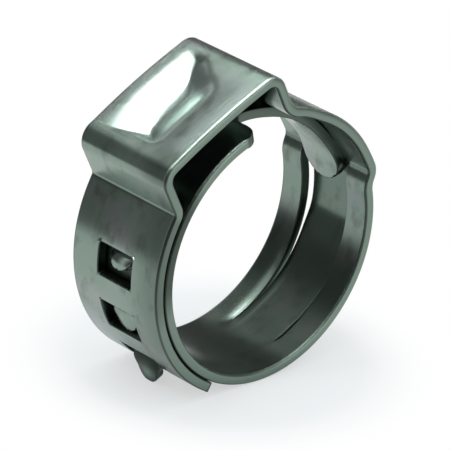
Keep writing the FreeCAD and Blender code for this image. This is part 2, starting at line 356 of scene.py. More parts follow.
def hookRuns(root, rim):
    crest = innerMid + lips["hookRise"]
    crestAngle = root + arcDegrees(lips["hookRamp"], crest)
    runs = doubleBend(spoke(innerMid, root), root + 90, spoke(crest, crestAngle), crestAngle + 90)
    return runs + [arcRun(0j, crest, crestAngle, rim)]


def tabPlaces():  # root angle, end of the bend and tip of the guide tab's mid-line
    last = windowAngle(windows["count"] - 1)
    root = last - windowHalf + arcDegrees(lips["tabRoot"], innerMid)
    along = spoke(1, lips["tabDirection"])
    clear = spoke(halfThickness + lips["tabGap"], lips["tabDirection"] - 90)
    start = spoke(outerOutside, last + windowHalf) + clear
    return root, start - along * lips["tabRoot"], start + along * lips["tabReach"]


def restTurn():  # the ring stands on its underside and on the tab's tip or the free end
    tip = tabPlaces()[2] + spoke(halfThickness, lips["tabDirection"] - 90)
    props = [tip, spoke(outerOutside, windows["freeEndAngle"])]
    downs = [angleOf(prop) % 360 + math.degrees(math.acos(innerOutside / abs(prop))) for prop in props]
    return math.radians(270 - max(downs))


paintedShade = {                    # painted shade: how much of the studio each face has lost, to its own shadow and where light falls darker on it
    "tongueBack": 0.45,
    "tongueBackShort": 1.0,                     # the tongue's shade ends this far before its shoulder
    "underEar": 0.1,
    "underBand": 0.88,
    "earInside": 0.35,
    "channelInside": 0.4,
    "shearedWall": 0.5,
    "boreInside": 0.62,
    "boreInsideOver": (205, 245, 305, 340),     # ring angles: starts, is whole, fades, is gone
    "railInside": 0.15,
    "railInsideRise": (300, 330),
    "behindHooks": 0.35,
    "behindHooksOver": (100, 130, 165, 190),
    # painted shade where light falls darker: along the long edges beside the ear's left foot, towards the
    # free end, on the near side and at the ear's left corner
    "innerEdge": 0.7,
    "innerEdgeOver": (105, 122, 152, 170),
    "outerEdge": 0.35,
    "outerEdgeRise": (-0.3, 0.3),               # distances from the ear's left foot
    "outerEdgeFall": (158, 174),
    "freeEnd": 0.3,
    "freeEndRise": (186, 208),
    "nearSide": 0.40,
    "nearSideAcross": (0.4, 3.3),               # heights where it starts and is whole
    "nearSideRise": (-0.8, 0.0),
    "nearSideFall": (176, 200),
    "corner": 1.3,                              # share of nearSide at the ear's left corner
    "cornerAcross": (0.2, 2.8),
    "cornerOver": (-1.5, -0.3, 0.7, 1.5),       # distances from the crown's end
    "foot": 0.7,                                # painted shade in the crease at the ear's left foot, dimming its reflection
    "footPast": 0.1,
    "footWidth": 0.16,
    # painted shade across the rails' step, dimming its bright reflection
    "stepInside": 0.45,
    "stepWidth": 0.35,
    # painted shade on the tab, with a painted highlight in its middle
    "tab": 0.97,
    "tabLightSpot": (0.65, 0.45, 0.55),         # painted highlight on the tab: distance from the tip, then its reach along and across
}


def stations(keys, step):  # every key, with even steps between them
    keys = np.unique(np.round(np.concatenate(keys), 6))
    gaps = np.diff(keys)
    tolerance = 1e-6  # a gap only just longer than the step stays one cell
    counts = np.maximum(np.ceil(gaps / step - tolerance), 1).astype(int)
    within = np.arange(counts.sum()) - np.repeat(np.cumsum(counts) - counts, counts)
    return np.append(np.repeat(keys[:-1], counts) + np.repeat(gaps / counts, counts) * within, keys[-1])


def between(along, spans):  # which cells lie inside any of the spans
    middle = (along[1:] + along[:-1]) / 2
    return np.any([(middle > low) & (middle < high) for low, high in spans], axis=0)


def eased(value, low, high):  # nothing below low, one above high, a smooth cubic between
    share = np.clip((value - low) / (high - low), 0, 1)
    return share * share * (3 - 2 * share)


def hump(value, rise, top, fall, end):  # up from rise to top, down from fall to end
    return eased(value, rise, top) * (1 - eased(value, fall, end))


def squeezed(around):
    return spring["squeeze"] * hump(around, *spring["squeezeOver"])


def dragged(around, height):  # a ridge along the slit
    beside = np.exp(-((height + channel["halfWidth"]) / spring["slitDragWidth"]) ** 2)
    return spring["slitDrag"] * hump(around, *spring["slitDragOver"]) * beside


def centreStray(along, around, height):
    return (squeezed(around) + spring["channelLift"] * hump(around, *spring["channelLiftOver"])
            - spring["channelSag"] * hump(around, *spring["channelSagOver"]) + dragged(around, height))


def mainStray(along, around, height):
    inTongue = along < onInner(tongue["shoulderAngle"])
    onRails = (along > stepStart) & (along < rightFootStart)
    pressedIn = spring["tongueSqueeze"] * hump(around, *spring["tongueSqueezeOver"])
    lifted = eased(along, onOuter(spring["endLiftFrom"]), stripEnd + spring["endLiftPast"])
    onChannel = (along > onInner(spring["slitDragFrom"])) & (along < stepMiddle)
    return (np.where(inTongue, pressedIn, 0) + np.where(onRails, squeezed(around), 0)
            + spring["endLift"] * lifted + np.where(onChannel, dragged(around, height), 0))


def gridPatch(runs, along, edge, split, removedOutside, removedInside,
              lift=None, stray=None, begin=0.0, shade=None):
    # Row heights: the outer rows share the way from split to the margin evenly, the last one lies on
    # the edge, and the middle rows share twice split.
    # A vertex is the folded mid-line point, moved outward by its lift, at its row's height. Its plan
    # holds its place on the flat strip and the painted shade of its outer and inner faces.
    outer = np.linspace(0, 1, band["rowsOutside"])
    middle = np.linspace(-1, 1, band["rowsInside"] + 1)
    side = split[:, None] + (edge - band["edgeMargin"] - split)[:, None] * outer
    side = np.concatenate([side, edge[:, None]], axis=1)
    height = np.concatenate([-side[:, ::-1], split[:, None] * middle[1:-1], side], axis=1)
    point, outward = foldAt(runs, along)
    raised = np.zeros(height.shape) if lift is None else lift(along[:, None] + 0 * height, height)
    if stray is not None:
        raised = raised + stray(along[:, None], np.degrees(np.angle(point))[:, None], height)
    folded = point[:, None] + outward[:, None] * raised
    points = np.stack([folded.real, folded.imag, height], axis=-1).reshape(-1, 3)
    outside, inside = (0.0, 0.0) if shade is None else shade(along[:, None], height)
    plan = np.stack([along[:, None] + begin + 0 * height, height, outside + 0 * height, inside + 0 * height],
                    axis=-1).reshape(-1, 4)
    rows = height.shape[1]
    corner = np.arange(len(along) - 1)[:, None] * rows + np.arange(rows - 1)
    # travel, then height, turns anticlockwise round the inward normal, so height comes first
    quads = np.stack([corner, corner + 1, corner + rows + 1, corner + rows], axis=-1)
    kept = np.concatenate([np.repeat(~removedOutside[:, None], band["rowsOutside"], axis=1),
                           np.repeat(~removedInside[:, None], band["rowsInside"], axis=1),
                           np.repeat(~removedOutside[:, None], band["rowsOutside"], axis=1)], axis=1)
    return points, plan, quads[kept]


def innerShade(along, name):  # a painted shade between four ring angles of the inner layer
    return paintedShade[name] * hump(along, *onInner(np.array(paintedShade[name + "Over"])))


def boreShade(along):  # painted shade: the ring's underside is darkest inside
    rails = paintedShade["railInside"] * eased(along, *onInner(np.array(paintedShade["railInsideRise"])))
    return np.maximum(innerShade(along, "boreInside"), rails)


def pastFoot(along, name):  # from beside the ear's left foot to ring angles of the outer layer
    rise = lastStart + np.array(paintedShade[name + "Rise"])
    return hump(along, *rise, *onOuter(np.array(paintedShade[name + "Fall"])))


def edgeShade(along):  # painted shade: the long edges are darker beside the ear's left foot
    return innerShade(along, "innerEdge") + paintedShade["outerEdge"] * pastFoot(along, "outerEdge")


def mainShade(along, height):  # painted shade on each face: outer face, then inner face
    hookFoot = onInner(leftFootAngle)
    onTongue = along < onInner(tongue["shoulderAngle"]) - paintedShade["tongueBackShort"]
    outside = np.where(along < hookFoot, paintedShade["underEar"], paintedShade["underBand"])
    outside = np.where(onTongue, paintedShade["tongueBack"], outside)
    outside = np.where(along > onInner(windows["freeEndAngle"]), 0, outside)
    foot = (leftFootStart + lastStart) / 2
    crease = np.exp(-((along - foot - paintedShade["footPast"]) / paintedShade["footWidth"]) ** 2)
    outside = np.maximum(outside, paintedShade["foot"] * crease)
    nearSide = eased(height, *paintedShade["nearSideAcross"]) * pastFoot(along, "nearSide")
    corner = hump(along, *(crownEnd + np.array(paintedShade["cornerOver"])))
    nearSide = nearSide + paintedShade["corner"] * eased(height, *paintedShade["cornerAcross"]) * corner
    outside = np.maximum(outside, paintedShade["nearSide"] * nearSide)
    freeEnd = eased(along, *onOuter(np.array(paintedShade["freeEndRise"])))
    outside = np.maximum(outside, paintedShade["freeEnd"] * freeEnd)
    inside = np.where(along > stepMiddle, paintedShade["railInside"], boreShade(along))
    inside = np.maximum(inside, innerShade(along, "behindHooks"))
    crease = np.exp(-((along - (stepMiddle + outerStart) / 2) / paintedShade["stepWidth"]) ** 2)
    inside = np.maximum(inside, paintedShade["stepInside"] * crease)
    inside = np.where(along > rightLegStart, paintedShade["earInside"], inside)
    return outside, inside


def mainOutline():  # keys along the strip, the split at each, and the spans cut out of the middle rows
    keys, splits, removed = [], [], []

    def outline(along, half):
        keys.append(np.atleast_1d(np.asarray(along, float)))
        splits.append(np.atleast_1d(np.asarray(half, float)))

    def opening(start, end, half):  # the hole a lip leaves, a little wider than the lip
        wide = half + lips["openingGap"]
        roundAlong, roundHalf = halfRoundEnd(end, wide)
        outline([start, start + lips["openingTaper"]], [half, wide])
        outline(roundAlong, roundHalf)
        removed.append((start, roundAlong[-1]))

    head, neck = tongue["halfHead"], tongue["halfNeck"]
    outline(head - head * np.sin(nearlyRound[::-1]), head * np.cos(nearlyRound[::-1]))
    ease = np.linspace(0, 1, 9)[1:]
    waist = neck + (head - neck) * (1 + np.cos(np.pi * ease)) / 2
    outline(head + (tongue["headLength"] - head) * ease, waist)
    shoulder, fillet = onInner(tongue["shoulderAngle"]), tongue["shoulderRoot"]
    outline(shoulder - fillet + fillet * np.sin(quarter), neck + fillet - fillet * np.cos(quarter))
    for index in range(windows["count"] - 1):
        root, rim = hookAngles(index)
        opening(onInner(root), onInner(rim) + lips["hookSeat"], lips["hookHalfWidth"])
    root, _, tip = tabPlaces()
    flat = abs(tip - spoke(innerMid, root)) + lips["openingGap"]
    opening(onInner(root), onInner(root) + flat, lips["tabHalfWidth"])
    low, high = onInner(channel["endAngle"]), outerStart
    half, wide = channel["halfWidth"], channel["halfWidth"] + channel["slitGap"]
    outline([low, low + channel["slitTaper"]], [half, wide])
    outline([high - channel["slitTaper"], high], [wide, half])
    removed.append((low, high))
    outline([crownStart, crownEnd], [windows["halfWidth"], windows["halfWidth"]])
    corner = windows["corner"]
    bend = windows["halfWidth"] - corner + corner * np.sin(quarter)
    for index in range(windows["count"]):
        low, high = onOuter(windowAngle(index) - windowHalf), onOuter(windowAngle(index) + windowHalf)
        outline(low + corner - corner * np.cos(quarter), bend)
        outline(high - corner + corner * np.cos(quarter[::-1]), bend[::-1])
        removed.append((low, high))
    outline([stripEnd], [windows["halfWidth"]])
    return keys, splits, removed


def soft(value, softness):  # nothing below zero and the value above, on a rounded corner
    return (value + np.sqrt(value ** 2 + softness ** 2)) / 2


crest = (crownStart + crownEnd) / 2


def pressed(distance, height):
    # Across each wall a share rises from nothing on the floor to one on the rim. Shares of the end
    # wall and the side wall join as the sides of a right angle, and the depth falls straight with
    # the joint share. Soft corners replace the kinks, a shallow dish lies round the near rim, and
    # the whole fades out before the bends.
    x = crest - distance
    spread = soft(dimple["flareFrom"] - height, dimple["flareSoftness"])
    rightEnd = (x - dimple["right"][0] - dimple["flare"][0] * spread) / dimple["right"][1]
    leftEnd = (dimple["left"][0] - dimple["flare"][1] * spread - x) / dimple["left"][1]
    ends = soft(rightEnd, dimple["endSoftness"]) + soft(leftEnd, dimple["endSoftness"])
    foot = dimple["far"][0] + dimple["farSkew"] * soft(dimple["skewFrom"] - x, dimple["skewSoftness"])
    rim = dimple["far"][0] - dimple["far"][1]
    nearFoot = dimple["near"][0] + soft(foot - dimple["near"][0], dimple["footSoftness"])
    nearRim = sum(dimple["near"])
    sides = (soft((height - nearFoot) / (nearRim - nearFoot), dimple["nearSoftness"])
             + soft((foot - height) / (foot - rim), dimple["farSoftness"]))
    depth = dimple["depth"] * soft(1 - np.hypot(ends, sides), dimple["rimSoftness"])
    beside = 1 - eased(height, nearRim, nearRim + dimple["dishWidth"])
    dish = dimple["dishDepth"] * beside * eased(height, rim, nearRim) * hump(x, *dimple["dishOver"])
    fade = dimple["fade"]
    return -(depth + dish) * hump(distance, crownStart, crownStart + fade, crownEnd - fade, crownEnd)


def mainPatch():
    keys, splits, removed = mainOutline()
    bends = []
    for number, run in enumerate(mainRuns):
        bend = mainStarts[number:number + 2]
        if run[0] == "arc" and run[2] < band["tightBend"]:
            bend = np.linspace(*bend, 1 + math.ceil(runLength(run) / band["bendStep"]))
        bends.append(bend[bend >= keys[0][0]])  # the grid starts where the tongue's tip has a width
    fine = np.linspace(crownStart, crownEnd, math.ceil((crownEnd - crownStart) / dimple["step"]))
    shoulder, corner = onInner(tongue["shoulderAngle"]), tongue["shoulderCorner"]
    cornerAlong = shoulder + corner - corner * np.cos(quarter)
    cornerEdge = halfWidth - corner + corner * np.sin(quarter)
    along = stations(keys + bends + [fine, cornerAlong], band["step"])
    split = np.interp(along, np.concatenate(keys), np.concatenate(splits))
    edge = np.interp(along, cornerAlong, cornerEdge)
    return gridPatch(mainRuns, along, edge, split, between(along, [(0, shoulder)]),
                     between(along, removed), pressed, mainStray, 0.0, mainShade)


def lipPatch(runs, half, begin, dome, tipHalf=None, taper=0.0, shade=None):
    # A lip keeps its width up to its taper and ends half round; its sides curl inward by the dome.
    length = runStarts(runs)[-1]
    roundAlong, roundHalf = halfRoundEnd(length, tipHalf or half)
    if tipHalf:
        roundAlong, roundHalf = np.append(length - taper, roundAlong), np.append(half, roundHalf)
    along = stations([np.zeros(1), roundAlong], band["lipStep"])
    split = np.interp(along, roundAlong, roundHalf)

    def curled(distance, height):
        return -dome * (height / half) ** 2 * eased(distance, 0, length - half / 2)

    nothing = np.zeros(len(along) - 1, bool)
    return gridPatch(runs, along, split + 1, split, ~nothing, nothing, curled, None, begin, shade)


def centrePatch():  # centre strip of the channel, lanced outward beyond the tongue
    foot, top = channel["endAngle"], channel["endAngle"] + channel["rampAngle"]
    runs = doubleBend(spoke(innerMid, foot), foot + 90, spoke(outerMid, top), top + 90)
    runs.append(arcRun(0j, outerMid, top, channel["topAngle"]))
    starts = runStarts(runs)
    taper = channel["slitTaper"]
    keys = np.array([0, taper, starts[-1] - taper, starts[-1]])
    slim = channel["halfWidth"] - channel["slitGap"]
    along = stations([keys, starts], band["step"])
    split = np.interp(along, keys, [channel["halfWidth"], slim, slim, channel["halfWidth"]])
    nothing = np.zeros(len(along) - 1, bool)

    def shade(distance, height):
        return 0.0, np.maximum(boreShade(distance + onInner(foot)), paintedShade["channelInside"])

    return gridPatch(runs, along, split + 1, split, ~nothing, nothing,
                     None, centreStray, onInner(foot), shade)


def welded(patches):  # patches that share a place share a vertex, and unused ones go
    counts = np.cumsum([0] + [len(points) for points, plan, quads in patches])
    points = np.concatenate([points for points, plan, quads in patches])
    plan = np.concatenate([plan for points, plan, quads in patches])
    quads = np.concatenate([patch[2] + count for patch, count in zip(patches, counts)])
    used, quads = np.unique(quads, return_inverse=True)
    points, plan, quads = points[used], plan[used], quads.reshape(-1, 4)
    _, first, same = np.unique(np.round(points, band["weldDecimals"]), axis=0,
                               return_index=True, return_inverse=True)
    return points[first], plan[first], same.ravel()[quads]


def vertexNormals(points, quads):  # sum of the faces' area vectors round each vertex
    a, b, c, d = (points[quads[:, k]] for k in range(4))
    area = np.cross(c - a, d - b)
    total = np.zeros(points.shape)
    for k in range(4):
        np.add.at(total, quads[:, k], area)
    return total / np.linalg.norm(total, axis=1, keepdims=True)


def thickened(points, plan, quads, rounding):
    # Both faces lie half the thickness off the mid-surface. Round each open edge runs a rim:
    # a quarter circle of the local rounding, a slightly crowned flat and a quarter circle back,
    # carried along the edge on the mitre of its two neighbours' side directions.
    normals = vertexNormals(points, quads)
    edges = np.stack([quads, np.roll(quads, -1, axis=1)], axis=-1).reshape(-1, 2)
    label = edges.min(axis=1) * len(points) + edges.max(axis=1)
    _, back, count = np.unique(label, return_inverse=True, return_counts=True)
    start, end = edges[count[back.ravel()] == 1].T
    travel = points[end] - points[start]
    side = np.cross(travel, normals[start] + normals[end])
    side /= np.linalg.norm(side, axis=1, keepdims=True)
    mitre = np.zeros(points.shape)
    np.add.at(mitre, start, side)
    np.add.at(mitre, end, side)
    size = np.sum(mitre ** 2, axis=1, keepdims=True)
    sharpest = 0.3  # two side directions that nearly cancel have no mitre
    mitre = np.where(size > sharpest, mitre * 2 / np.maximum(size, sharpest), 0)
    rim = np.unique(start)
    order = np.full(len(points), -1)
    order[rim] = np.arange(len(rim))

    turn = np.radians(np.linspace(0, 90, band["roundingSteps"]))
    radius = rounding[rim][:, None]
    crown = band["edgeCrown"] * np.where(radius > band["shearedEdge"], 1, band["punchedCrown"])
    out = -radius + radius * np.sin(turn)
    off = halfThickness - radius + radius * np.cos(turn)
    out = np.concatenate([out, out[:, ::-1]], axis=1)
    off = np.concatenate([off, -off[:, ::-1]], axis=1)
    out = out - crown * (off / halfThickness) ** 2
    profile = (points[rim][:, None] + mitre[rim][:, None] * out[..., None]
               + normals[rim][:, None] * off[..., None])
    steps = profile.shape[1]

    total = len(points)
    upper = points + normals * halfThickness
    lower = points - normals * halfThickness
    upper[rim], lower[rim] = profile[:, 0], profile[:, -1]
    table = 2 * total + np.arange(len(rim))[:, None] * (steps - 2) + np.arange(steps - 2)
    table = np.concatenate([rim[:, None], table, total + rim[:, None]], axis=1)
    first, second = table[order[start]], table[order[end]]
    rimQuads = np.stack([second[:, :-1], first[:, :-1], first[:, 1:], second[:, 1:]], axis=-1).reshape(-1, 4)
    vertices = np.concatenate([upper, lower, profile[:, 1:-1].reshape(-1, 3)])
    flat = np.concatenate([plan, plan, np.repeat(plan[rim], steps - 2, axis=0)])[:, :2]
    # painted shade on the punched walls and along the long edges beside the ear's left foot
    wall = np.where(rounding[rim] > band["shearedEdge"], 0, paintedShade["shearedWall"])[:, None]
    edge = np.maximum(wall, edgeShade(plan[rim, :1])) + np.zeros(steps - 2)
    sheltered = np.concatenate([plan[:, 2], plan[:, 3], edge.ravel()])
    # wear and painted shade: on the faces beside a rounded edge, on the edge's flat and on its roundings
    wearAndShade = np.zeros(len(vertices))
    wearAndShade[rim] = wearAndShade[total + rim] = band["faceWearShade"]
    onRounding = out[0, 1:-1] < -band["edgeTolerance"] - crown[0, 0]
    wearAndShade[2 * total:] = np.tile(np.where(onRounding, band["roundingWearShade"], band["edgeWearShade"]), len(rim))
    faces = np.concatenate([quads, quads[:, ::-1] + total, rimQuads])
    return vertices, flat, wearAndShade, sheltered, faces


def stoodUp(points):  # turned to its rest, then the ring's axis laid level, in metres
    turned = (points[:, 0] + 1j * points[:, 1]) * np.exp(1j * restTurn())
    return np.stack([turned.real, -points[:, 2], turned.imag], axis=1) * mm


planUnit = 100                # millimetres of the flat strip to one unit of its map


def pointValues(mesh, **values):  # a number on each vertex, under the name of its argument
    for name, numbers in values.items():
        mesh.attributes.new(name, "FLOAT", "POINT").data.foreach_set("value", numbers.astype(np.float32))


def meshPiece(name, points, flat, wearAndShade, sheltered, faces):
    mesh = bpy.data.meshes.new(name)
    mesh.from_pydata(points.tolist(), [], faces.tolist())
    mesh.update()
    mesh.shade_smooth()
    loops = np.zeros(len(mesh.loops), np.int32)
    mesh.loops.foreach_get("vertex_index", loops)
    rolled = mesh.uv_layers.new(name="rolled")
    rolled.data.foreach_set("uv", (flat[loops] / planUnit + [0, 0.5]).astype(np.float32).ravel())
    pointValues(mesh, rim=wearAndShade, sheltered=sheltered)
    piece = bpy.data.objects.new(name, mesh)
    bpy.context.scene.collection.objects.link(piece)
    return piece


def bandPiece():
    patches = [mainPatch(), centrePatch()]
    for index in range(windows["count"] - 1):
        root, rim = hookAngles(index)
        patches.append(lipPatch(hookRuns(root, rim), lips["hookHalfWidth"], onInner(root), lips["hookDome"]))
    root, bendEnd, tip = tabPlaces()
    runs = doubleBend(spoke(innerMid, root), root + 90, bendEnd, lips["tabDirection"])
    runs.append(lineRun(bendEnd, tip))
    length = runStarts(runs)[-1]

    def tabShade(distance, height):  # painted shade, lighter only in the middle of its free part as a painted highlight
        middle, along, across = paintedShade["tabLightSpot"]
        light = np.exp(-((length - distance - middle) / along) ** 2 - (height / across) ** 2)
        return paintedShade["tab"] * (1 - light), paintedShade["tab"]

    patches.append(lipPatch(runs, lips["tabHalfWidth"], onInner(root), lips["tabDome"],
                            lips["tabTipHalfWidth"], lips["tabTaper"], tabShade))
    points, plan, quads = welded(patches)
    quads = quads[:, ::-1]  # normals away from the ring's axis
    atEdge = np.abs(points[:, 2]) > halfWidth - band["edgeTolerance"]
    rolled = atEdge & (plan[:, 0] < stripEnd - band["edgeTolerance"])
    rounding = np.where(rolled, band["rolledEdge"], band["shearedEdge"])
    vertices, flat, wearAndShade, sheltered, faces = thickened(points, plan, quads, rounding)
    return meshPiece("clampBandSteel", stoodUp(vertices), flat, wearAndShade, sheltered, faces)


piece = bandPiece()
print("strip folded:", len(piece.data.vertices), "vertices,", len(piece.data.polygons), "faces")
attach(piece, "root")
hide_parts("clamp_band")

# Rolled stainless: soft gloss, cloudy patches and stains, wear with painted shade along the rounded edges,
# and painted shade where the strip shadows itself and where light falls darker
steel = {
    "colour": (0.230, 0.308, 0.261),
    "cloudColour": (0.300, 0.325, 0.325),
    "crownColour": (0.250, 0.306, 0.284),
    "stainColour": (0.170, 0.210, 0.185),
    # darker colours of the rounded edges and corners: painted shade that dims their reflections, as well as
    # wear
    "edgeColour": (0.18, 0.24, 0.20),
    "cornerColour": (0.085, 0.105, 0.095),
    # near black of the deepest painted shade
    "paintedShadeColour": (0.018, 0.026, 0.020),
    "roughness": (0.22, 0.27),
    "edgeRoughness": 0.5,
    "shelterRoughness": 0.36,
    "streakScale": (20, 700, 1),          # along and across the strip, on its flat map
    "streakRange": (0.3, 0.7),
    "stainScale": (60, 90, 1),
    "stainRange": (0.53, 0.68),
    "cloudScale": (330, 330, 330),
    "cloudRange": (0.50, 0.72),
    "crownFade": 0.01,
    "edgeWearShade": (0.1, 0.5),               # wear and painted shade at which each finish starts and is whole
    "cornerWearShade": (0.5, 1),
    "glossWear": (0.3, 1),
    "dullShelter": (0.78, 0.86),          # only the deepest painted shade is duller as well
    "waveScale": (130, 130, 130),
    "waveBump": (0.10, 0.4 * mm),         # strength and height
    "streakBump": (0.012, 0.05 * mm),
}


def rgba(colour):
    return (*colour, 1.0)


def attribute(nodes, name):
    node = nodes.new("ShaderNodeAttribute")
    node.attribute_name = name
    return node.outputs["Fac"]


def fed(links, node, *values):  # links or sets a node's first inputs and gives its first output
    for socket, value in zip(node.inputs, values):
        if isinstance(value, bpy.types.NodeSocket):
            links.new(value, socket)
        elif value is not None:
            socket.default_value = value
    return node.outputs[0]


def calculated(nodes, links, operation, first, second):
    node = nodes.new("ShaderNodeMath")
    node.operation = operation
    return fed(links, node, first, second)


def steelMaterial():
    material = bpy.data.materials.new("rolledStainless")
    material.use_nodes = True
    nodes, links = material.node_tree.nodes, material.node_tree.links
    shader = nodes["Principled BSDF"]
    shader.inputs["Metallic"].default_value = 1.0
    place = nodes.new("ShaderNodeUVMap")
    place.uv_map = "rolled"
    body = nodes.new("ShaderNodeTexCoord")

    def noise(source, stretch, detail, roughness=0.5):
        mapping = nodes.new("ShaderNodeMapping")
        mapping.inputs["Scale"].default_value = stretch
        links.new(source, mapping.inputs["Vector"])
        node = nodes.new("ShaderNodeTexNoise")
        node.inputs["Scale"].default_value = 1.0
        node.inputs["Detail"].default_value = detail
        node.inputs["Roughness"].default_value = roughness
        links.new(mapping.outputs["Vector"], node.inputs["Vector"])
        return node.outputs["Fac"]

    def ranged(value, low, high, toLow=0, toHigh=1):
        return fed(links, nodes.new("ShaderNodeMapRange"), value, low, high, toLow, toHigh)

    def mixed(factor, first, second):
        node = nodes.new("ShaderNodeMix")
        node.data_type = "RGBA"
        links.new(factor, node.inputs["Factor"])
        for socket, colour in ((node.inputs["A"], first), (node.inputs["B"], second)):
            if isinstance(colour, tuple):
                socket.default_value = rgba(colour)
            else:
                links.new(colour, socket)
        return node.outputs["Result"]

    def bumped(height, values, normal=None):
        node = nodes.new("ShaderNodeBump")
        node.inputs["Strength"].default_value, node.inputs["Distance"].default_value = values
        links.new(height, node.inputs["Height"])
        if normal is not None:
            links.new(normal, node.inputs["Normal"])
        return node.outputs["Normal"]

    flat, inPlace = place.outputs["UV"], body.outputs["Object"]
    streaks = noise(flat, steel["streakScale"], 3.0, 0.55)
    cloud = noise(inPlace, steel["cloudScale"], 3.0, 0.55)
    stain = noise(flat, steel["stainScale"], 4.0, 0.6)
    wave = noise(inPlace, steel["waveScale"], 0.0)
    along = fed(links, nodes.new("ShaderNodeSeparateXYZ"), flat)
    first, last, fade = crownStart / planUnit, crownEnd / planUnit, steel["crownFade"]
    onCrown = calculated(nodes, links, "MULTIPLY", ranged(along, first, first + fade),
                         ranged(along, last - fade, last, 1, 0))
    rim, sheltered = attribute(nodes, "rim"), attribute(nodes, "sheltered")

    tone = mixed(ranged(cloud, *steel["cloudRange"]), steel["colour"], steel["cloudColour"])
    tone = mixed(onCrown, tone, steel["crownColour"])
    tone = mixed(ranged(stain, *steel["stainRange"]), tone, steel["stainColour"])
    # wear and painted shade along the rounded edges, darker still on their corners
    tone = mixed(ranged(rim, *steel["edgeWearShade"]), tone, steel["edgeColour"])
    tone = mixed(ranged(rim, *steel["cornerWearShade"]), tone, steel["cornerColour"])
    # painted shade, towards near black where the strip shadows itself and where light falls darker
    tone = mixed(sheltered, tone, steel["paintedShadeColour"])
    links.new(tone, shader.inputs["Base Color"])

    def dulled(factor, value, number):
        return fed(links, nodes.new("ShaderNodeMix"), factor, None, value, number)

    gloss = ranged(streaks, *steel["streakRange"], *steel["roughness"])
    gloss = dulled(ranged(rim, *steel["glossWear"]), gloss, steel["edgeRoughness"])
    gloss = dulled(ranged(sheltered, *steel["dullShelter"]), gloss, steel["shelterRoughness"])
    links.new(gloss, shader.inputs["Roughness"])
    links.new(bumped(streaks, steel["streakBump"], bumped(wave, steel["waveBump"])), shader.inputs["Normal"])
    return material


piece.data.materials.append(steelMaterial())
print("steel finished")

# Studio: pale floor that fades to white, a soft lamp, and panels that only the metal mirrors
studio = {
    "floorSize": 2.0,
    "floorColour": (0.76, 0.83, 0.86),
    "floorRoughness": 0.9,
    "fadeStart": 0.007,
    "fadeEnd": 0.015,
    "nearGlow": 0.55,         # seen directly, the floor glows a little even near the clamp
    "ambient": 1.0,
    "panelCell": 2,           # degrees between the lines of a panel's grid
}
seenRays = ("Is Camera Ray", "Is Glossy Ray", "Is Transmission Ray")


def rayFactor(nodes, links, names):  # one where the ray is any of the named kinds
    path = nodes.new("ShaderNodeLightPath")
    total = path.outputs[names[0]]
    for name in names[1:]:
        total = calculated(nodes, links, "MAXIMUM", total, path.outputs[name])
    return total


def floorPiece():
    half = studio["floorSize"] / 2
    mesh = bpy.data.meshes.new("studioFloor")
    corners = [(-half, -half), (half, -half), (half, half), (-half, half)]
    mesh.from_pydata([(x, y, cadLow.z) for x, y in corners], [], [(0, 1, 2, 3)])
    floor = bpy.data.objects.new("studioFloor", mesh)
    bpy.context.scene.collection.objects.link(floor)
    material = bpy.data.materials.new("paleFloor")
    material.use_nodes = True
    nodes, links = material.node_tree.nodes, material.node_tree.links
    shader = nodes["Principled BSDF"]
    shader.inputs["Base Color"].default_value = rgba(studio["floorColour"])
    shader.inputs["Roughness"].default_value = studio["floorRoughness"]
    shader.inputs["Specular IOR Level"].default_value = 0.0
    white = nodes.new("ShaderNodeEmission")
    place = nodes.new("ShaderNodeTexCoord")
    away = nodes.new("ShaderNodeVectorMath")
    away.operation = "LENGTH"
    links.new(place.outputs["Object"], away.inputs[0])
    fade = nodes.new("ShaderNodeMapRange")
    fade.interpolation_type = "SMOOTHSTEP"
    far = fed(links, fade, away.outputs["Value"], studio["fadeStart"], studio["fadeEnd"])
    far = calculated(nodes, links, "MULTIPLY", far, rayFactor(nodes, links, seenRays))
    near = calculated(nodes, links, "MULTIPLY", rayFactor(nodes, links, seenRays[:1]), studio["nearGlow"])
    glow = calculated(nodes, links, "MAXIMUM", far, near)
    mix = fed(links, nodes.new("ShaderNodeMixShader"), glow, shader.outputs[0], white.outputs[0])
    links.new(mix, nodes["Material Output"].inputs["Surface"])
    mesh.materials.append(material)
    return floor


def studioWorld():
    world = bpy.data.worlds.new("studioWorld")
    world.use_nodes = True
    nodes, links = world.node_tree.nodes, world.node_tree.links
    ambient = nodes["Background"]
    ambient.inputs["Color"].default_value = (1, 1, 1, 1)
    ambient.inputs["Strength"].default_value = studio["ambient"]
    white = nodes.new("ShaderNodeBackground")
    white.inputs["Color"].default_value = (1, 1, 1, 1)
    white.inputs["Strength"].default_value = 1.0
    mix = fed(links, nodes.new("ShaderNodeMixShader"), rayFactor(nodes, links, seenRays),
              ambient.outputs[0], white.outputs[0])
    links.new(mix, nodes["World Output"].inputs["Surface"])
    bpy.context.scene.world = world


def towards(azimuth, elevation):  # azimuth 0 is -y, 90 is +x, as the camera's is
    azimuth, elevation = math.radians(azimuth), math.radians(elevation)
    return Vector((math.sin(azimuth) * math.cos(elevation), -math.cos(azimuth) * math.cos(elevation),
                   math.sin(elevation)))


lamps = {
    # name: (azimuth, elevation, distance, width, height, power)
    "overhead": (-150, 70, 0.45, 0.35, 0.35, 0.35),
}


def softLamp(name, azimuth, elevation, distance, width, height, power):
    data = bpy.data.lights.new(name, "AREA")
    data.shape = "RECTANGLE"
    data.size, data.size_y = width, height
    data.energy = power
    lamp = bpy.data.objects.new(name, data)
    direction = towards(azimuth, elevation)
    lamp.location = direction * distance
    lamp.rotation_mode = "QUATERNION"
    lamp.rotation_quaternion = direction.to_track_quat("Z", "Y")
    lamp.visible_glossy = False   # the panels stand for it in the metal
    bpy.context.scene.collection.objects.link(lamp)


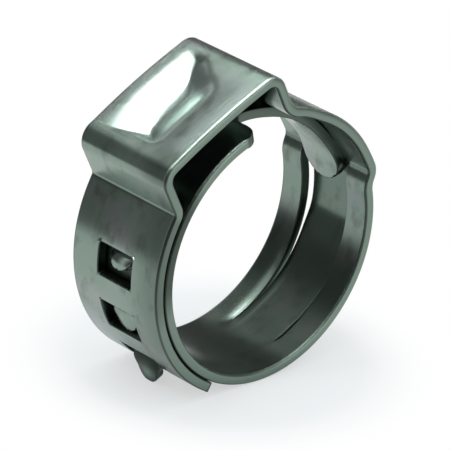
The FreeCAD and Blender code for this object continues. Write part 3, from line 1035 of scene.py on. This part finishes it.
panels = {
    # name: (azimuth from, to, elevation from, to, distance, soft edge in degrees, level)
    "frontDark": (-108, 4, -60, 52, 0.045, 12, 0.10),
    "backLeftDark": (-176, -106, -40, 60, 0.050, 22, 0.14),
    "backLine": (-210, -160, 27, 40, 0.051, 5, 1.2),
    "backDark": (-208, -156, 2, 52, 0.052, 7, 0.25),
    "backHigh": (-206, -158, 44, 62, 0.054, 6, 0.72),
    "backRightDark": (108, 158, -10, 56, 0.056, 12, 0.17),
    "rightFrontDark": (32, 74, -12, 54, 0.058, 12, 0.18),
    "frontStrip": (0, 32, -12, 64, 0.060, 8, 2.0),
    "leftHigh": (-138, -92, 38, 72, 0.062, 10, 2.6),
    "rightHigh": (98, 138, 42, 72, 0.064, 10, 2.6),
    "zenith": (-180, 180, 73, 91, 0.065, 8, 56.0),
    "overhead": (-180, 180, 55, 91, 0.066, 11, 3.2),
}


def panelPiece():
    # Each panel is a patch of a sphere round the clamp, a grid over azimuth and elevation. Its cover
    # rises by a smooth cubic from nothing on the border to one the soft edge further in.
    points, cover, level, quads = [], [], [], []
    for azFrom, azTo, elFrom, elTo, distance, border, glow in panels.values():
        lines = [np.linspace(low, high, 1 + round((high - low) / studio["panelCell"]))
                 for low, high in ((azFrom, azTo), (elFrom, elTo))]
        azimuth, elevation = np.meshgrid(*lines, indexing="ij")
        whole = azTo - azFrom >= 360
        sides = 1 if whole else eased(np.minimum(azimuth - azFrom, azTo - azimuth), 0, border)
        ends = eased(elevation - elFrom, 0, border) * (1 if elTo > 90 else eased(elTo - elevation, 0, border))
        across, up = np.radians(azimuth), np.radians(elevation)
        first = sum(len(block) for block in points)
        facing = np.stack([np.sin(across) * np.cos(up), -np.cos(across) * np.cos(up), np.sin(up)], axis=-1)
        points.append(distance * facing.reshape(-1, 3))
        cover.append((sides * ends).ravel())
        level.append(np.full(cover[-1].shape, glow))
        rows = azimuth.shape[1]
        corner = first + np.arange(azimuth.shape[0] - 1)[:, None] * rows + np.arange(rows - 1)
        quads.append(np.stack([corner, corner + 1, corner + rows + 1, corner + rows], axis=-1).reshape(-1, 4))
    mesh = bpy.data.meshes.new("studioPanels")
    mesh.from_pydata(np.concatenate(points).tolist(), [], np.concatenate(quads).tolist())
    pointValues(mesh, cover=np.concatenate(cover), glow=np.concatenate(level))
    shell = bpy.data.objects.new("studioPanels", mesh)
    bpy.context.scene.collection.objects.link(shell)
    material = bpy.data.materials.new("panelGlow")
    material.use_nodes = True
    nodes, links = material.node_tree.nodes, material.node_tree.links
    nodes.remove(nodes["Principled BSDF"])
    glow = nodes.new("ShaderNodeEmission")
    links.new(attribute(nodes, "glow"), glow.inputs["Strength"])
    clear = nodes.new("ShaderNodeBsdfTransparent")
    mix = fed(links, nodes.new("ShaderNodeMixShader"), attribute(nodes, "cover"),
              clear.outputs[0], glow.outputs[0])
    links.new(mix, nodes["Material Output"].inputs["Surface"])
    mesh.materials.append(material)
    shell.visible_camera = shell.visible_diffuse = shell.visible_shadow = False
    return shell


floorPiece()
panelPiece()
studioWorld()
for name, values in lamps.items():
    softLamp(name, *values)
print("studio lit")

view = {                      # turned round the aim, azimuth and elevation as in towards
    "azimuth": -44.464,
    "elevation": 24.174,
    "roll": -4.822,
    "distance": 222.084 * mm,
    "aim": (-0.108 * mm, 0.284 * mm, 0.284 * mm),
    "lens": 320.0,
    "sensor": 36.0,
    "clip": (0.01, 10.0),
}


def photoCamera():
    camera = bpy.data.objects.new("photoCamera", bpy.data.cameras.new("photoCamera"))
    camera.data.lens, camera.data.sensor_width = view["lens"], view["sensor"]
    camera.data.clip_start, camera.data.clip_end = view["clip"]
    back = towards(view["azimuth"], view["elevation"])
    level = Vector((math.cos(math.radians(view["azimuth"])), math.sin(math.radians(view["azimuth"])), 0))
    upright = back.cross(level)
    roll = math.radians(view["roll"])
    right = level * math.cos(roll) - upright * math.sin(roll)
    up = back.cross(right)
    turn = Matrix((right, up, back)).transposed().to_4x4()
    camera.matrix_world = Matrix.Translation(Vector(view["aim"]) + back * view["distance"]) @ turn
    bpy.context.scene.collection.objects.link(camera)
    bpy.context.scene.camera = camera


photoCamera()
bpy.context.scene.view_settings.view_transform = "Standard"
print("camera set")
